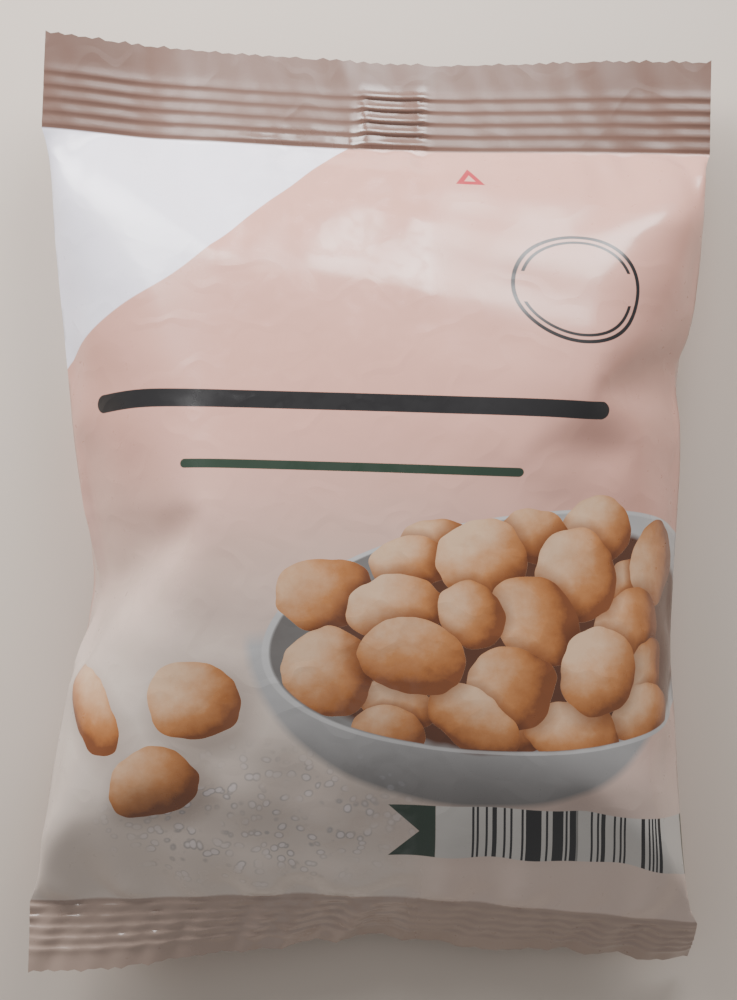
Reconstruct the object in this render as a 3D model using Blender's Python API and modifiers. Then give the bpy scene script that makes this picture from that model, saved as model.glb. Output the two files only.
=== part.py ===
"""A filled pillow bag of roasted macadamia kernels, lying on its back seam.

One web of film is folded into a tube: its two long edges meet in a fin that is laid flat against
the back, and both ends are crimped flat. The kernels rest loose inside, in layers.

Metres, +Z up, +Y towards the top seal, +X across. The origin is below the middle of the bag.
"""

import math

import bmesh
import bpy
import numpy as np
from mathutils import Euler, Vector

COLLECTION = "macadamia_pillow_bag"

# The film, measured flat.
BAG_WIDTH = 0.120
FILM = 0.0001
SPACE = 0.0004           # from the middle of one layer to the middle of the next
FIN_ROOT = -0.0024       # the fin's fold, across from the middle
FIN_WIDTH = 0.0108
FIN_RAMP = 0.0042        # how far beside the fin the layers come together again
FOLD_STEP = 0.0004       # from a long edge to the next column of the web

# The filled body, between the two seal lines.
BODY_LENGTH = 0.1405
BELLY_HEIGHT = 0.0420
BELLY_AT = 0.46          # the fullest section, as a share of the body from the bottom seal
SEAL_HEIGHT = 0.0145     # the seal lines, above the surface that the bag lies on
SINK = 0.0012            # how far the rounded back would pass the surface, were it not flattened
FRONT_FULLNESS = 0.72    # lower values bring the front up sooner beside the seals
BACK_FULLNESS = 3.0      # higher values bring the back down sooner
GATHER = 0.020           # the share of the girth that shallow folds take up at the belly

# The crimped ends.
TOP_BAND = 0.0170
TOP_TILT = math.radians(4.0)
TOP_RIB_PITCH = 0.00235
BOTTOM_BAND = 0.0125
BOTTOM_TILT = math.radians(36.0)
BOTTOM_RIB_PITCH = 0.0021
RIBS = 5
RIB_START = 0.0005       # from the seal line to the first rib
RIB_DEPTH = 0.0004

# The kernels.
KERNELS = 54
KERNEL_DIAMETER = 0.0168
KERNEL_SPREAD = 0.04     # how much a kernel's size varies either way
KERNEL_WIDTHS = (0.96, 1.0)  # narrowest and widest, in lengths
KERNEL_HEIGHT = 0.95     # from base to tip, in lengths
KERNEL_GAP = 0.0003
END_ROOM = 1.3           # half the height that a kernel needs near a seal, in its radii
END_MARGIN = 0.02        # no kernel comes nearer to a seal than this share of the body
START_REACH = 0.6        # the box that kernels start in: its half width, in half bag widths
START_LENGTH = 0.35      # its half length, in body lengths
START_HEIGHTS = (0.3, 0.7)   # its floor and top, in belly heights
SPREAD_ROUNDS = 700
PUSH_APART = 0.45        # the share of an overlap that each of two kernels gives way in a round
PUSH_BACK = 0.6          # the same, of what a kernel lacks to the film
SINK_STEP = 0.00006      # how far every kernel drops in a round
SINK_UNTIL = 0.7         # the share of the rounds after which none drops

HALF_WIDTH = BAG_WIDTH / 2
GIRTH = 2 * BAG_WIDTH
FOLD_RADIUS = SPACE / 2
FIN_STACK = 2 * SPACE
TOP_REACH = TOP_BAND * math.cos(TOP_TILT)
BOTTOM_REACH = BOTTOM_BAND * math.cos(BOTTOM_TILT)
SEAL_Y = (BOTTOM_REACH - TOP_REACH - BODY_LENGTH) / 2   # the bottom seal line
BELLY_POWER = math.log(0.5) / math.log(BELLY_AT)
LOOP = np.linspace(0, 2 * math.pi, 721)[:-1]


def smooth(edge0, edge1, x):
    """0 below edge0, 1 above edge1, and a smooth step between them."""
    t = np.clip((x - edge0) / (edge1 - edge0), 0, 1)
    return t * t * (3 - 2 * t)


class Section:
    """One cut across the bag: its film as a closed loop, by how far along it a point lies."""

    def __init__(self, share):
        """share runs from 0 at the bottom seal line to 1 at the top one."""
        rise = math.sin(math.pi * min(max(share, 0.0), 1.0) ** BELLY_POWER)
        front = SEAL_HEIGHT + (BELLY_HEIGHT - SEAL_HEIGHT) * rise**FRONT_FULLNESS
        back = SEAL_HEIGHT - (SEAL_HEIGHT + SINK) * (1 - (1 - rise) ** BACK_FULLNESS)
        self.middle = (front + back) / 2
        self.half = (front - back) / 2
        girth = GIRTH * (1 - GATHER * rise)
        low, high = 0.5 * HALF_WIDTH, HALF_WIDTH
        for _ in range(40):
            self.reach = (low + high) / 2
            if self.trace() > girth:
                high = self.reach
            else:
                low = self.reach

    def trace(self):
        """Lays out the loop clockwise from the middle of the back, and returns its length."""
        across = self.reach - FOLD_RADIUS
        up = max(self.half - FOLD_RADIUS, 1e-7)
        c, s = -np.sin(LOOP), -np.cos(LOOP)
        normal = np.stack([up * c, across * s], 1)
        normal /= np.linalg.norm(normal, axis=1)[:, None]
        x = across * c + FOLD_RADIUS * normal[:, 0]
        z = self.middle + up * s + FOLD_RADIUS * normal[:, 1]
        z = np.maximum(z, FILM / 2)
        self.x, self.z = np.append(x, x[0]), np.append(z, z[0])
        steps = np.hypot(np.diff(self.x), np.diff(self.z))
        self.along = np.append(0, np.cumsum(steps))
        return self.along[-1]

    def point(self, share):
        """x and height, at a share of the loop: 0 mid back, 0.25 left, 0.5 mid front, 0.75 right."""
        at = (share % 1.0) * self.along[-1]
        return np.interp(at, self.along, self.x), np.interp(at, self.along, self.z)

    def gap(self, x):
        """The height between the back and the front over x."""
        half = len(LOOP) // 2
        front = slice(half // 2, half + half // 2 + 1)
        top = np.interp(x, self.x[front], self.z[front])
        back_x = np.append(self.x[half + half // 2 :], self.x[1 : half // 2 + 1])[::-1]
        back_z = np.append(self.z[half + half // 2 :], self.z[1 : half // 2 + 1])[::-1]
        return top - np.interp(x, back_x, back_z), top


def fin_cover(x):
    """1 over the folded fin, and down to 0 beside it."""
    end = FIN_ROOT + FIN_WIDTH
    near = smooth(FIN_ROOT - FIN_RAMP, FIN_ROOT - SPACE, x)
    return near * (1 - smooth(end + SPACE, end + FIN_RAMP, x))


def web_columns():
    """The web from one long edge to the other, as (place, across): the place names the layer."""
    end = FIN_ROOT + FIN_WIDTH
    edge = HALF_WIDTH - FOLD_STEP
    over_fin = FIN_ROOT + FIN_WIDTH / 3
    columns = [("fin_outer", x) for x in np.linspace(end, FIN_ROOT + 0.001, 4)]
    columns += [("back_left", x) for x in np.linspace(FIN_ROOT - 0.001, -edge, 10)]
    columns += [("left_fold", -HALF_WIDTH)]
    columns += [("front", x) for x in np.linspace(-edge, edge, 24)]
    columns += [("right_fold", HALF_WIDTH)]
    columns += [("back_right", x) for x in np.linspace(edge, end + FIN_RAMP, 6)]
    columns += [("back_right", x) for x in (end + FIN_RAMP / 2, end, end - FIN_WIDTH / 3, over_fin)]
    columns += [("back_right", FIN_ROOT), ("fin_turn", FIN_ROOT), ("fin_inner", FIN_ROOT)]
    columns += [("fin_inner", x) for x in np.linspace(over_fin, end, 3)]
    return columns


def web_point(section, place, across):
    """Where a point of the web lies in a section: x, and height."""
    if place == "front":
        x, z = section.point(0.5 + across / GIRTH)
        gap, _ = section.gap(x)
        return x, z + max(0.0, FIN_STACK + SPACE - gap) * fin_cover(x)
    if place in ("left_fold", "right_fold"):
        return section.point(0.5 + across / GIRTH)
    x, z = section.point(-across / GIRTH)
    if place == "back_right":
        z += FIN_STACK * fin_cover(max(x, FIN_ROOT))
    elif place == "fin_turn":
        x, z = x - FOLD_RADIUS, z + 1.5 * SPACE
    elif place == "fin_inner":
        z += SPACE
    return x, z


def band_rows(length, pitch):
    """Along a crimped band, from its seal line outwards: (distance, rise of the rib)."""
    rows = []
    for rib in range(RIBS):
        start = RIB_START + rib * pitch
        rows += [(start, 0.0), (start + pitch / 2, RIB_DEPTH)]
    last = RIB_START + RIBS * pitch
    return rows + [(last, 0.0), ((last + length) / 2, 0.0), (length, 0.0)]


def film_rows():
    """Every row of the web from the bottom end to the top: section, y, extra height, and tilt."""
    bottom, top = Section(0.0), Section(1.0)
    rows = []
    for out, rib in reversed(band_rows(BOTTOM_BAND, BOTTOM_RIB_PITCH)):
        y = SEAL_Y - out * math.cos(BOTTOM_TILT)
        rows.append((bottom, y, rib - out * math.sin(BOTTOM_TILT), BOTTOM_TILT))
    for share in (1 - np.cos(np.linspace(0, math.pi, 21))) / 2:
        rows.append((Section(share), SEAL_Y + share * BODY_LENGTH, 0.0, 0.0))
    for out, rib in band_rows(TOP_BAND, TOP_RIB_PITCH):
        y = SEAL_Y + BODY_LENGTH + out * math.cos(TOP_TILT)
        rows.append((top, y, rib - out * math.sin(TOP_TILT), -TOP_TILT))
    return rows


def make_material(name, colour, roughness):
    material = bpy.data.materials.new(name)
    material.use_nodes = True
    shader = material.node_tree.nodes["Principled BSDF"]
    shader.inputs["Base Color"].default_value = (*colour, 1.0)
    shader.inputs["Roughness"].default_value = roughness
    shader.inputs["Metallic"].default_value = 0.0
    material.diffuse_color = (*colour, 1.0)
    return material


def add_object(name, mesh, collection, material):
    mesh.materials.append(material)
    mesh.shade_smooth()
    mesh.set_sharp_from_angle(angle=math.radians(50))
    body = bpy.data.objects.new(name, mesh)
    collection.objects.link(body)
    return body


def make_film(collection, material):
    """Lofts the web through its rows, as an open surface that Solidify gives the film's wall."""
    columns = web_columns()
    bm = bmesh.new()
    grid = []
    for section, y, extra, tilt in film_rows():
        row = []
        for place, across in columns:
            x, z = web_point(section, place, across)
            above = z - section.middle
            lean = Vector((0, math.sin(tilt) * above, math.cos(tilt) * above))
            row.append(bm.verts.new(Vector((x, y, section.middle + extra)) + lean))
        grid.append(row)
    for lower, upper in zip(grid, grid[1:]):
        for i in range(len(columns) - 1):
            bm.faces.new((lower[i], lower[i + 1], upper[i + 1], upper[i]))
    mesh = bpy.data.meshes.new("film_bag")
    bm.to_mesh(mesh)
    bm.free()
    film = add_object("film_bag", mesh, collection, material)
    wall = film.modifiers.new("wall", "SOLIDIFY")
    wall.thickness = FILM
    wall.offset = 0.0
    return film


def clear_of_film(centre, radius):
    """Whether a ball keeps its gap to the film all round, the fin's layers included."""
    reach = radius + KERNEL_GAP
    for turn in np.linspace(-90, 90, 9):
        lean = math.radians(turn)
        share = (centre[1] + reach * math.sin(lean) - SEAL_Y) / BODY_LENGTH
        if not END_MARGIN < share < 1 - END_MARGIN:
            return False
        section = SECTIONS[round(share * (len(SECTIONS) - 1))]
        for spin in np.linspace(0, 2 * math.pi, 17)[:-1]:
            x = centre[0] + reach * math.cos(lean) * math.cos(spin)
            z = centre[2] + reach * math.cos(lean) * math.sin(spin)
            if abs(x) > section.reach - SPACE:
                return False
            gap, top = section.gap(x)
            if not top - gap + FIN_STACK + SPACE < z < top - SPACE:
                return False
    return True


def depth(centres):
    """How deep points lie, as 1 on the film and 0 in the middle, and half the bag's height there."""
    share = (centres[:, 1] - SEAL_Y) / BODY_LENGTH
    places = np.linspace(0, 1, len(SECTIONS))
    reach = np.interp(share, places, [cut.reach - SPACE for cut in SECTIONS])
    half = np.interp(share, places, [cut.half - SPACE for cut in SECTIONS])
    middle = np.interp(share, places, [cut.middle for cut in SECTIONS])
    level = np.hypot(centres[:, 0] / reach, (centres[:, 2] - middle) / half)
    return level, half


def keep_inside(centres, radii):
    """Moves the balls that come too near to the film back from it."""
    room = radii + KERNEL_GAP
    halves = np.array([cut.half for cut in SECTIONS])
    places = SEAL_Y + BODY_LENGTH * np.linspace(0, 1, len(SECTIONS))
    widest = int(halves.argmax())
    height = END_ROOM * room + FIN_STACK
    first = np.interp(height, halves[: widest + 1], places[: widest + 1])
    last = np.interp(height, halves[widest:][::-1], places[widest:][::-1])
    centres[:, 1] = np.clip(centres[:, 1], first, last)
    level, half = depth(centres)
    step = 0.0005
    slope = np.empty_like(centres)
    for axis in range(3):
        shift = np.zeros(3)
        shift[axis] = step
        slope[:, axis] = (depth(centres + shift)[0] - depth(centres - shift)[0]) / (2 * step)
    steep = np.maximum(np.linalg.norm(slope, axis=1), 1 / half)
    short = np.clip(room - (1 - level) / steep, 0, None)
    centres -= slope / steep[:, None] * (PUSH_BACK * short)[:, None]
    centres[:, 2] = np.maximum(centres[:, 2], room + FIN_STACK + SPACE)


def spread_kernels(draw):
    """Centres and radii of the kernels, spread until none is in another or in the film."""
    radii = KERNEL_DIAMETER / 2 * (1 + draw.uniform(-KERNEL_SPREAD, KERNEL_SPREAD, KERNELS))
    belly = SEAL_Y + BELLY_AT * BODY_LENGTH
    across, along = START_REACH * HALF_WIDTH, START_LENGTH * BODY_LENGTH
    floor, top = START_HEIGHTS[0] * BELLY_HEIGHT, START_HEIGHTS[1] * BELLY_HEIGHT
    low, high = (-across, belly - along, floor), (across, belly + along, top)
    centres = draw.uniform(low, high, (KERNELS, 3))
    for count in range(SPREAD_ROUNDS):
        between = centres[:, None] - centres[None]
        away = np.linalg.norm(between, axis=2) + 1e-9
        short = radii[:, None] + radii[None] + KERNEL_GAP - away
        np.fill_diagonal(short, 0)
        push = np.clip(short, 0, None) / away
        centres += PUSH_APART * (between * push[:, :, None]).sum(1)
        centres[:, 2] -= SINK_STEP * max(0.0, 1 - count / (SINK_UNTIL * SPREAD_ROUNDS))
        keep_inside(centres, radii)
    return centres, radii


def kernel_radius(index, centres, radii):
    """A kernel's own radius, or the largest that leaves its gaps free."""
    others = np.delete(np.arange(len(radii)), index)
    away = np.linalg.norm(centres[others] - centres[index], axis=1)
    radius = min(radii[index], float((away - radii[others]).min()) - KERNEL_GAP)
    while not clear_of_film(centres[index], radius):
        radius -= FILM
    return radius


def kernel_mesh(radius, draw):
    """A nearly round kernel, a little flatter from its base to its tip."""
    bm = bmesh.new()
    bmesh.ops.create_icosphere(bm, subdivisions=2, radius=radius)
    width = draw.uniform(*KERNEL_WIDTHS)
    for vertex in bm.verts:
        vertex.co.y *= width
        vertex.co.z *= KERNEL_HEIGHT
    mesh = bpy.data.meshes.new("kernel")
    bm.to_mesh(mesh)
    bm.free()
    return mesh


def make_kernels(collection, material):
    draw = np.random.default_rng(5)
    centres, radii = spread_kernels(draw)
    for index in range(KERNELS):
        radii[index] = kernel_radius(index, centres, radii)
    for number, (centre, radius) in enumerate(zip(centres, radii), 1):
        name = f"kernel_{number:02d}"
        kernel = add_object(name, kernel_mesh(radius, draw), collection, material)
        kernel.location = centre
        kernel.rotation_euler = Euler(draw.uniform(0, 2 * math.pi, 3))


for old in list(bpy.data.objects):
    bpy.data.objects.remove(old, do_unlink=True)

SECTIONS = [Section(share) for share in np.linspace(0, 1, 141)]
parts = bpy.data.collections.new(COLLECTION)
bpy.context.scene.collection.children.link(parts)
make_film(parts, make_material("film", (0.62, 0.44, 0.38), 0.38))
make_kernels(parts, make_material("kernel", (0.62, 0.36, 0.14), 0.5))
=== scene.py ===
"""A filled pillow bag of roasted macadamias, lying on its back: film, print and kernels."""

import math
from collections import namedtuple

import bpy
import numpy as np
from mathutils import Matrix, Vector
from mathutils.bvhtree import BVHTree


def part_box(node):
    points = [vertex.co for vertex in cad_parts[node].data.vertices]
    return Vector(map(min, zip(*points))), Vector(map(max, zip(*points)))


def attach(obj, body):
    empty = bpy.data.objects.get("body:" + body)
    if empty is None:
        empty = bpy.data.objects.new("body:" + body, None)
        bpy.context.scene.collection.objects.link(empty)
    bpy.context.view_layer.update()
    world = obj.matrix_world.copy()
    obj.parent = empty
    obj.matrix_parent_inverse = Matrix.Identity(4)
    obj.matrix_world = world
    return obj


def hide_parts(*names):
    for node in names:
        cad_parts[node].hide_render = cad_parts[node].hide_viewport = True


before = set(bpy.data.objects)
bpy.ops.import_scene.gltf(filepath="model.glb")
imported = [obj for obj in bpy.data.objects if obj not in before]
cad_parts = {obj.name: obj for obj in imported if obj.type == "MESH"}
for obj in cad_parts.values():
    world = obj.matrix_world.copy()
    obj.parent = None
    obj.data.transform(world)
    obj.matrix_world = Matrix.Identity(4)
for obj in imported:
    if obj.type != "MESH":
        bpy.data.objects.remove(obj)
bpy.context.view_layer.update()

# The flat bag, in millimetres.
BAG_WIDTH = 120.0
BAG_LENGTH = 178.0
TOP_BAND = 17.0
BOTTOM_BAND = 12.5
BODY = BAG_LENGTH - TOP_BAND - BOTTOM_BAND
HALF = BAG_WIDTH / 2
MM = 0.001

# The inflation, on a sheet that is simulated ten times life size.
CELL = 2.0
SIM_SCALE = 10 * MM
FLOOR_DROP = 8.0
FRAMES = 50
PRESSURE = 2.2
FILM_TENSION = 80.0
FILM_SHEAR = 20.0
FILM_BENDING = 5.0
SEAL_STIFFENING = 60.0
FLOOR_SIZE = 400.0
FLOOR_CLEARANCE = 0.5
START_BULGE = 1.5        # how far each flat panel stands out at the start
START_TAPER = 6.0        # over which that falls to nothing at the seals
BACK_LIFT = 0.6          # the back panel's share of a side fold's lift
# side, height as a share of the body, push inwards, spread, and lift of each early fold
SIDE_FOLDS = ((-1, 0.40, 1.8, 8.0, 0.9), (1, 0.34, 1.2, 8.0, 0.6), (1, 0.68, 1.5, 8.0, -0.9))


# ------------ inflating the bag


def side_fold(x, y):
    """How far the flat sheet is pushed across and up where a side fold starts."""
    share = (y + BODY / 2) / BODY
    across = up = 0.0
    for side, at, push, spread, lift in SIDE_FOLDS:
        near = math.exp(-(((share - at) * BODY) / spread) ** 2) * max(0.0, side * x / HALF) ** 4
        across -= side * push * near
        up += lift * near
    return across, up


def flat_sheet():
    """Two sheets joined at their sides and seal lines, with one sheet beyond each seal line."""
    columns = round(BAG_WIDTH / CELL)
    rows = round(BODY / CELL)
    across = np.linspace(-HALF, HALF, columns + 1)
    along = np.linspace(-BODY / 2, BODY / 2, rows + 1)
    verts, faces = [], []

    def add(x, y, z):
        verts.append((x * SIM_SCALE, y * SIM_SCALE, z * SIM_SCALE))
        return len(verts) - 1

    front = np.zeros((rows + 1, columns + 1), int)
    back = np.zeros((rows + 1, columns + 1), int)
    for j, y in enumerate(along):
        near_seal = min(1, min(y + BODY / 2, BODY / 2 - y) / START_TAPER)
        for i, x in enumerate(across):
            bulge = START_BULGE * near_seal * math.sqrt(max(0, 1 - (x / HALF) ** 2))
            push, lift = side_fold(x, y)
            front[j, i] = add(x + push, y, bulge + lift)
            inner = 0 < i < columns and 0 < j < rows
            back[j, i] = add(x + push, y, BACK_LIFT * lift - bulge) if inner else front[j, i]
    for j in range(rows):
        for i in range(columns):
            faces.append((front[j, i], front[j, i + 1], front[j + 1, i + 1], front[j + 1, i]))
            faces.append((back[j, i], back[j + 1, i], back[j + 1, i + 1], back[j, i + 1]))
    seals = [int(v) for v in front[0]] + [int(v) for v in front[rows]]
    for start, sign, length in ((front[rows], 1, TOP_BAND), (front[0], -1, BOTTOM_BAND)):
        last = start
        count = round(length / CELL)
        for step in np.linspace(0, length, count + 1)[1:]:
            row = [add(x, sign * (BODY / 2 + step), 0) for x in across]
            for i in range(columns):
                ring = (last[i], last[i + 1], row[i + 1], row[i])
                faces.append(ring if sign > 0 else ring[::-1])
            seals += row
            last = row
    return verts, faces, front, back, seals


def inflate():
    """Blows the flat sheet up on a floor, and returns its front and back panels as grids."""
    verts, faces, front, back, seals = flat_sheet()
    mesh = bpy.data.meshes.new("flat_bag")
    mesh.from_pydata(verts, [], faces)
    bag = bpy.data.objects.new("flat_bag", mesh)
    bpy.context.scene.collection.objects.link(bag)
    free = sorted(set(range(len(verts))) - set(seals))
    bag.vertex_groups.new(name="blown").add(free, 1.0, "REPLACE")
    bag.vertex_groups.new(name="stiff").add(sorted(set(seals)), 1.0, "REPLACE")
    cloth = bag.modifiers.new("Cloth", "CLOTH")
    film = cloth.settings
    film.quality = 8
    film.mass = 0.02
    film.air_damping = 1
    film.tension_stiffness = film.compression_stiffness = FILM_TENSION
    film.tension_stiffness_max = FILM_TENSION
    film.shear_stiffness = FILM_SHEAR
    film.bending_stiffness = FILM_BENDING
    film.bending_stiffness_max = FILM_BENDING * SEAL_STIFFENING
    film.vertex_group_bending = "stiff"
    film.tension_damping = film.compression_damping = film.shear_damping = 5
    film.bending_damping = 0.5
    film.use_pressure = True
    film.uniform_pressure_force = PRESSURE
    film.vertex_group_pressure = "blown"
    cloth.collision_settings.use_self_collision = False
    cloth.collision_settings.distance_min = FLOOR_CLEARANCE * SIM_SCALE
    below = (0, 0, -FLOOR_DROP * SIM_SCALE)
    bpy.ops.mesh.primitive_plane_add(size=FLOOR_SIZE * SIM_SCALE, location=below)
    floor = bpy.context.object
    floor.modifiers.new("Collision", "COLLISION")
    floor.collision.thickness_outer = 0.001
    floor.collision.cloth_friction = 5
    scene = bpy.context.scene
    scene.frame_start, scene.frame_end = 1, FRAMES
    for number in range(1, FRAMES + 1):
        scene.frame_set(number)
    shape = bag.evaluated_get(bpy.context.evaluated_depsgraph_get()).to_mesh()
    points = np.empty(len(shape.vertices) * 3, np.float32)
    shape.vertices.foreach_get("co", points)
    points = points.reshape(-1, 3).astype(float) / SIM_SCALE
    scene.frame_set(1)
    for used in (bag, floor):
        bpy.data.objects.remove(used, do_unlink=True)
    return points[front], points[back]


# ------------ the film's surface

WALL = 0.06              # the film's thickness
CRISP_ANGLE = 58         # degrees between two faces from which their edge is crisp
LAYER = 0.16             # from the middle of one pressed layer to the middle of the next
CELL_WIDE = 1.2          # the finished mesh's cells
CELL_LONG = 1.2
FIN_ROOT = -2.4
FIN_WIDTH = 10.8
FIN_END = FIN_ROOT + FIN_WIDTH
FIN_TURN = 0.1           # the web that each half of the fin's sharp turn takes up
FIN_SHOULDERS = (1.2, 1.5)  # how far past the fin's root and its edge the front still shows it
SCALLOP = 0.40           # how far the teeth of the knife-cut ends stand out

RIBS = 5
RIB_STEPS = ((0.0, 0.0), (0.12, 0.75), (0.26, 1.0), (0.5, 0.62), (0.76, 0.2))
RIB_START = 0.4
RIB_RISE = 0.26

# how high the pleats beside each seal stand, how far they reach in, and how wide they are
TOP_PLEATS = (0.30, 7, (5, 14))
BOTTOM_PLEATS = (0.95, 12, (6, 18))
SWELL_RISE = 0.10        # how high the film stands where kernels press on it
SWELL_SIZES = (17, 30)

SEAL_CELLS = 9           # how many cells to each side even out a seal line
SEAL_SPREAD = 4.0
SEAL_REACH = 6.0         # how far into the body that fades
ROUNDING = 0.35          # between a curve through the simulated points and a looser one


def smooth(low, high, x):
    """0 up to low, 1 from high, and a smooth step between them."""
    t = np.clip((x - low) / (high - low), 0, 1)
    return t * t * (3 - 2 * t)


def blend_weights(count, places, closed, smoothing):
    """Cubic weights that read a row of count points at places, as a matrix.

    With smoothing 0 the curve passes through the points; with 1 it is a smooth B-spline.
    """
    through = np.array([[0, 2, 0, 0], [-1, 0, 1, 0], [2, -5, 4, -1], [-1, 3, -3, 1]]) / 2
    loose = np.array([[1, 4, 1, 0], [-3, 0, 3, 0], [3, -6, 3, 0], [-1, 3, -3, 1]]) / 6
    basis = (1 - smoothing) * through + smoothing * loose
    weights = np.zeros((len(places), count))
    for row, place in enumerate(places):
        cell = int(math.floor(place)) if closed else min(int(math.floor(place)), count - 2)
        t = place - cell
        parts = np.array([1, t, t * t, t**3]) @ basis
        for step, part in zip((-1, 0, 1, 2), parts):
            at = cell + step
            if closed:
                weights[row, at % count] += part
            elif at < 0:
                weights[row, 0] += 2 * part
                weights[row, 1] -= part
            elif at > count - 1:
                weights[row, count - 1] += 2 * part
                weights[row, count - 2] -= part
            else:
                weights[row, at] += part
    return weights


def web_columns():
    """The web from one long edge to the other: layer, x across, and place round the tube."""

    def run(start, end):
        return np.linspace(start, end, round(abs(end - start) / CELL_WIDE) + 1)

    def on_back(x):
        return (HALF * 3 - x) / CELL

    columns = [("fin_outer", x, on_back(x)) for x in run(FIN_END, FIN_ROOT)[:-1]]
    columns += [("back_left", x, on_back(x)) for x in run(FIN_ROOT, -HALF)[:-1]]
    columns += [("front", x, (x + HALF) / CELL) for x in run(-HALF, HALF)]
    columns += [("back_right", x, on_back(x)) for x in run(HALF, FIN_ROOT)[1:]]
    columns.append(("fin_turn", FIN_ROOT, on_back(FIN_ROOT - 0.08)))
    columns += [("fin_inner", x, on_back(x)) for x in run(FIN_ROOT, FIN_END)]
    return columns


def web_coordinate(layer, x):
    """Millimetres along the flat web, from the middle of the front."""
    return {
        "front": x,
        "back_right": BAG_WIDTH - x,
        "fin_turn": BAG_WIDTH - x + FIN_TURN,
        "fin_inner": BAG_WIDTH - 2 * FIN_ROOT + x + 2 * FIN_TURN,
        "back_left": -BAG_WIDTH - x,
        "fin_outer": -BAG_WIDTH - x,
    }[layer]


def fin_cover(x):
    """1 over the folded fin, and down to 0 beside it."""
    before, after = FIN_SHOULDERS
    near = smooth(FIN_ROOT - before, FIN_ROOT + FIN_TURN, x)
    return near * (1 - smooth(FIN_END, FIN_END + after, x))


def layer_offsets(columns, gap):
    """How far each column's layer stands out from the simulated surface, in rows by columns."""
    layer = np.array([c[0] for c in columns])
    x = np.array([c[1] for c in columns])
    cover = fin_cover(x)
    close = np.clip(1 - gap / (3 * LAYER), 0, 1)
    base = np.full(gap.shape, LAYER / 2)
    base += np.where(layer == "front", 2 * LAYER * cover * close, 0)
    base -= np.where(layer == "back_right", 2 * LAYER * cover, 0)
    base -= np.where(layer == "fin_turn", 1.5 * LAYER, 0)
    base -= np.where(layer == "fin_inner", LAYER, 0)
    return base


def waves(x, seed, lengths, count=9):
    """A smooth irregular wave of size about 1, with wavelengths between the two lengths."""
    draw = np.random.default_rng(seed)
    total = np.zeros_like(np.asarray(x, float))
    for _ in range(count):
        length = draw.uniform(*lengths)
        total += math.sqrt(2 / count) * np.sin(2 * math.pi * x / length + draw.uniform(0, 7))
    return total


def seal_waves(x, seed):
    """The long waves of a seal, which differ along its length."""
    return waves(x, seed, (24, 60), 5)


def soften_seals(loop):
    """Evens out the seal lines, and the rows beside them less and less."""
    rows, around, _ = loop.shape
    half = around // 2
    near = SEAL_CELLS
    kernel = np.exp(-((np.arange(-near, near + 1) * CELL / SEAL_SPREAD) ** 2) / 2)
    kernel /= kernel.sum()
    for end in (0, rows - 1):
        line = loop[end, : half + 1]
        before = 2 * line[0] - line[near:0:-1]
        after = 2 * line[-1] - line[-2 : -near - 2 : -1]
        padded = np.concatenate([before, line, after])
        soft = np.stack([np.convolve(padded[:, a], kernel, "valid") for a in range(3)], 1)
        soft[0], soft[-1] = line[0], line[-1]
        change = soft - line
        for row in range(rows):
            share = math.exp(-abs(row - end) * CELL / SEAL_REACH)
            if share > 0.02:
                loop[row, : half + 1] += share * change
                loop[row, half + 1 :] += share * change[-2:0:-1]
    return loop


def outward_normals(ring):
    """Unit normals of a grid of closed rows, outwards."""
    across = np.roll(ring, -1, axis=1) - np.roll(ring, 1, axis=1)
    along = np.gradient(ring, axis=0)
    normal = np.cross(across, along)
    size = np.linalg.norm(normal, axis=2)[:, :, None]
    return normal / (size + 1e-9)


def body_rows(front, back, columns):
    """The filled body between the seals: surface, normals, front-to-back gap, and row shares."""
    rows = front.shape[0]
    loop = soften_seals(np.concatenate([front, back[:, -2:0:-1]], axis=1))
    loop = set_down(calm(even_corners(loop)))
    count = loop.shape[1]
    places = np.linspace(0, rows - 1, round(BODY / CELL_LONG) + 1)
    ring = np.einsum("ij,jkc->ikc", blend_weights(rows, places, False, 1.0), loop)
    spots = [c[2] for c in columns]
    around = blend_weights(count, spots, True, ROUNDING)
    facing = blend_weights(count, [count - spot for spot in spots], True, ROUNDING)
    surface = np.einsum("lk,ikc->ilc", around, ring)
    gap = np.linalg.norm(surface - np.einsum("lk,ikc->ilc", facing, ring), axis=2)
    normal = np.einsum("lk,ikc->ilc", around, outward_normals(ring))
    normal /= np.linalg.norm(normal, axis=2)[:, :, None] + 1e-9
    return surface, normal, gap, places / (rows - 1)


def surface_detail(columns, share, gap):
    """Small pleats that run out from the seals, and faint swells where kernels press."""
    web = np.array([web_coordinate(c[0], c[1]) for c in columns])
    pleats = 0
    from_top, from_bottom = (1 - share) * BODY, share * BODY
    for away, seed, pleat in ((from_top, 3, TOP_PLEATS), (from_bottom, 4, BOTTOM_PLEATS)):
        rise, reach, widths = pleat
        pleats = pleats + rise * np.exp(-away / reach)[:, None] * waves(web, seed, widths)[None]
    y = from_bottom[:, None]
    swell = waves(web[None] + 0.5 * y, 5, SWELL_SIZES) * waves(y - 0.4 * web[None], 6, SWELL_SIZES)
    return np.clip(gap / 3, 0, 1) * (pleats + SWELL_RISE * swell)


DROOP = 4                # degrees below the level at which both bands start
TOP_SAG = 13             # how much more the top band droops near its middle
BOTTOM_TUCK = 33         # how much more the bottom band is tucked under, past its left end
BOTTOM_TUCK_RIGHT = 6
BOTTOM_CURL = 14         # how much further its knife-cut end is turned under


def top_droop(x):
    """The angle below the level, in degrees, at which the top band runs out."""
    return DROOP + TOP_SAG * np.exp(-(((x - 4) / 38) ** 2)) + 1.5 * seal_waves(x, 11)


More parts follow.
